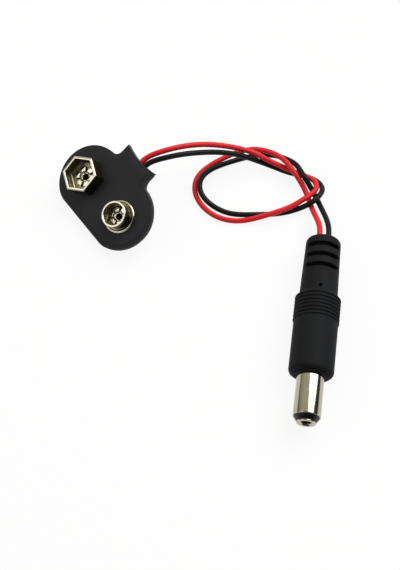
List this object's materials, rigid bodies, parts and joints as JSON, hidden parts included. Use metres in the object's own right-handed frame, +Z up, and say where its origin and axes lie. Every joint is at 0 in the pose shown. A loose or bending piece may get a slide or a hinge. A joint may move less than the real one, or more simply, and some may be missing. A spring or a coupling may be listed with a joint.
{
  "type": "9 v battery snap",
  "caption": "Soft vinyl battery snap with a hexagonal socket and a round stud, on a red and a black lead tied in a loose knot, ending in a moulded coaxial DC barrel plug.",
  "frame": {"origin": "on the floor, under the middle of the snap's bounding box", "axes": "+Z up, -Y the way the plug's barrel points, +X from the snap to the plug"},
  "size_m": [0.0638, 0.0653, 0.0119],
  "materials": {
    "vinyl": "soft satin vinyl",
    "fibre_board": "pressed fibre",
    "nickel": "bright nickel plate",
    "tinned_brass": "tinned",
    "solder": "dull solder",
    "red_insulation": "semi-gloss",
    "black_insulation": "semi-gloss",
    "plug_plastic": "satin moulded",
    "insulator_plastic": "smooth"
  },
  "bodies": {
    "root": {"face_cover": "vinyl", "back_cover": "vinyl", "terminal_board": "fibre_board", "socket_cup": "nickel", "stud_cup": "nickel", "socket_rivet": "nickel", "stud_rivet": "nickel", "socket_tag": "tinned_brass", "stud_tag": "tinned_brass", "socket_solder": "solder", "stud_solder": "solder", "red_lead": "red_insulation", "black_lead": "black_insulation", "plug_body": "plug_plastic", "plug_barrel": "nickel", "plug_insulator": "insulator_plastic", "plug_contact": "nickel", "contact_solder": "solder", "barrel_solder": "solder"}
  },
  "joints": []
}
